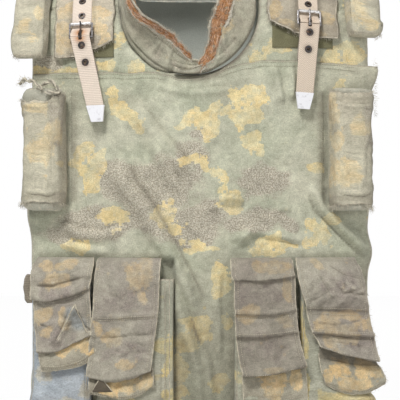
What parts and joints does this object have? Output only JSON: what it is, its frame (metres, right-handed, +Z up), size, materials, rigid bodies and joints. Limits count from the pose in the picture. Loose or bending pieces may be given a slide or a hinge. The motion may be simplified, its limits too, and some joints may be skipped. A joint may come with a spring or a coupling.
{
  "type": "body armour vest",
  "caption": "Worn camouflage body armour vest, front and back panels with armour plates, stand-up collar, padded rolls, strap buckles and magazine pouches.",
  "frame": {"origin": "middle of the line on which the shoulders rest, on the linings' inner faces under the shoulders", "axes": "+Z up, -Y to the front, +X to the right seen from the front"},
  "size_m": [0.5457, 0.2618, 0.6871],
  "materials": {
    "cover_cloth": "matte",
    "lining_cloth": "matte",
    "faded_cloth": "matte",
    "roll_cloth": "matte",
    "aramid": "matte",
    "plate_pocket_cloth": "matte",
    "titanium": "satin",
    "collar_filling": "matte",
    "hook_and_loop": "matte",
    "strap_webbing": "matte",
    "stub_webbing": "matte",
    "worn_steel": "satin",
    "tip_metal": "satin"
  },
  "bodies": {
    "front": {"front_cover": "cover_cloth", "front_lining": "lining_cloth", "front_ballistic_pack": "aramid", "front_plate_pockets": "plate_pocket_cloth", "front_plates": "titanium", "chest_pocket_cloth": "cover_cloth", "collar_left": "lining_cloth", "collar_right": "lining_cloth", "collar_filling": "collar_filling", "side_roll_sleeve_left": "roll_cloth", "side_roll_sleeve_right": "roll_cloth", "side_roll_core_left": "roll_cloth", "side_roll_core_right": "roll_cloth", "shoulder_roll_left": "roll_cloth", "shoulder_roll_right": "roll_cloth", "shoulder_flap_left": "cover_cloth", "shoulder_flap_right": "cover_cloth", "loop_patches": "hook_and_loop", "shoulder_strap_left": "strap_webbing", "shoulder_strap_right": "strap_webbing", "strap_eyelets": "worn_steel", "buckle_stub_left": "stub_webbing", "buckle_stub_right": "stub_webbing", "buckle_frame_left": "worn_steel", "buckle_frame_right": "worn_steel", "side_loop": "lining_cloth", "pouch_left_outer": "faded_cloth", "pouch_left_inner": "faded_cloth", "pouch_right_inner": "faded_cloth", "pouch_right_outer": "faded_cloth", "pouch_loop_strips": "hook_and_loop", "side_loop_strips": "hook_and_loop"},
    "back": {"back_cover": "cover_cloth", "back_lining": "lining_cloth", "back_ballistic_pack": "aramid", "back_plate_pockets": "plate_pocket_cloth", "back_plates": "titanium", "back_collar": "lining_cloth"},
    "flap_left_outer": {"flap_left_outer": "faded_cloth", "flap_strip_left_outer": "hook_and_loop"},
    "flap_left_inner": {"flap_left_inner": "faded_cloth", "flap_strip_left_inner": "hook_and_loop"},
    "flap_right_inner": {"flap_right_inner": "faded_cloth", "flap_strip_right_inner": "hook_and_loop"},
    "flap_right_outer": {"flap_right_outer": "faded_cloth", "flap_strip_right_outer": "hook_and_loop"},
    "strap_end_left": {"strap_tail_left": "strap_webbing", "strap_tip_left": "tip_metal", "tail_eyelets_left": "worn_steel"},
    "buckle_prong_left": {"buckle_prong_left": "worn_steel"},
    "buckle_roller_left": {"buckle_roller_left": "worn_steel"},
    "wing_left": {"wing_left": "lining_cloth", "wing_strip_left": "hook_and_loop"},
    "strap_end_right": {"strap_tail_right": "strap_webbing", "strap_tip_right": "tip_metal", "tail_eyelets_right": "worn_steel"},
    "buckle_prong_right": {"buckle_prong_right": "worn_steel"},
    "buckle_roller_right": {"buckle_roller_right": "worn_steel"},
    "wing_right": {"wing_right": "lining_cloth", "wing_strip_right": "hook_and_loop"}
  },
  "joints": [
    {"name": "back_swing", "type": "hinge", "parent": "front", "child": "back", "pos_m": [0, 0, 0.04641], "axis": [1, 0, 0], "range_deg": [0, 60]},
    {"name": "flap_left_outer_lift", "type": "hinge", "parent": "front", "child": "flap_left_outer", "pos_m": [-0.1985, -0.09339, -0.38559], "axis": [-0.969, 0.2471, 0], "range_deg": [0, 120]},
    {"name": "flap_left_inner_lift", "type": "hinge", "parent": "front", "child": "flap_left_inner", "pos_m": [-0.10296, -0.11167, -0.38559], "axis": [-0.9918, 0.1282, 0], "range_deg": [0, 120]},
    {"name": "flap_right_inner_lift", "type": "hinge", "parent": "front", "child": "flap_right_inner", "pos_m": [0.0922, -0.11299, -0.38559], "axis": [-0.9934, -0.1148, 0], "range_deg": [0, 120]},
    {"name": "flap_right_outer_lift", "type": "hinge", "parent": "front", "child": "flap_right_outer", "pos_m": [0.18583, -0.09651, -0.38559], "axis": [-0.9729, -0.2313, 0], "range_deg": [0, 120]},
    {"name": "buckle_prong_left_turn", "type": "hinge", "parent": "front", "child": "buckle_prong_left", "pos_m": [-0.17335, -0.10751, -0.0648], "axis": [0.9769, -0.2112, 0.0332], "range_deg": [0, 20]},
    {"name": "buckle_roller_left_spin", "type": "hinge", "parent": "front", "child": "buckle_roller_left", "pos_m": [-0.17335, -0.1044, -0.04504], "axis": [0.9769, -0.2112, 0.0332], "continuous": true},
    {"name": "strap_end_left_lift", "type": "hinge", "parent": "front", "child": "strap_end_left", "pos_m": [-0.17439, -0.1123, -0.0648], "axis": [-0.9769, 0.2112, -0.0332], "range_deg": [0, 90]},
    {"name": "buckle_prong_right_turn", "type": "hinge", "parent": "front", "child": "buckle_prong_right", "pos_m": [0.15916, -0.10758, -0.04558], "axis": [0.9806, 0.1858, -0.0632], "range_deg": [0, 20]},
    {"name": "buckle_roller_right_spin", "type": "hinge", "parent": "front", "child": "buckle_roller_right", "pos_m": [0.15916, -0.10115, -0.02665], "axis": [0.9806, 0.1858, -0.0632], "continuous": true},
    {"name": "strap_end_right_lift", "type": "hinge", "parent": "front", "child": "strap_end_right", "pos_m": [0.16007, -0.1124, -0.04558], "axis": [-0.9806, -0.1858, 0.0632], "range_deg": [0, 90]},
    {"name": "wing_right_fold", "type": "hinge", "parent": "back", "child": "wing_right", "pos_m": [0.23341, 0.05116, -0.62759], "axis": [0, 0, -1], "range_deg": [0, 50]},
    {"name": "wing_left_fold", "type": "hinge", "parent": "back", "child": "wing_left", "pos_m": [-0.23341, 0.05116, -0.62759], "axis": [0, 0, 1], "range_deg": [0, 50]}
  ]
}
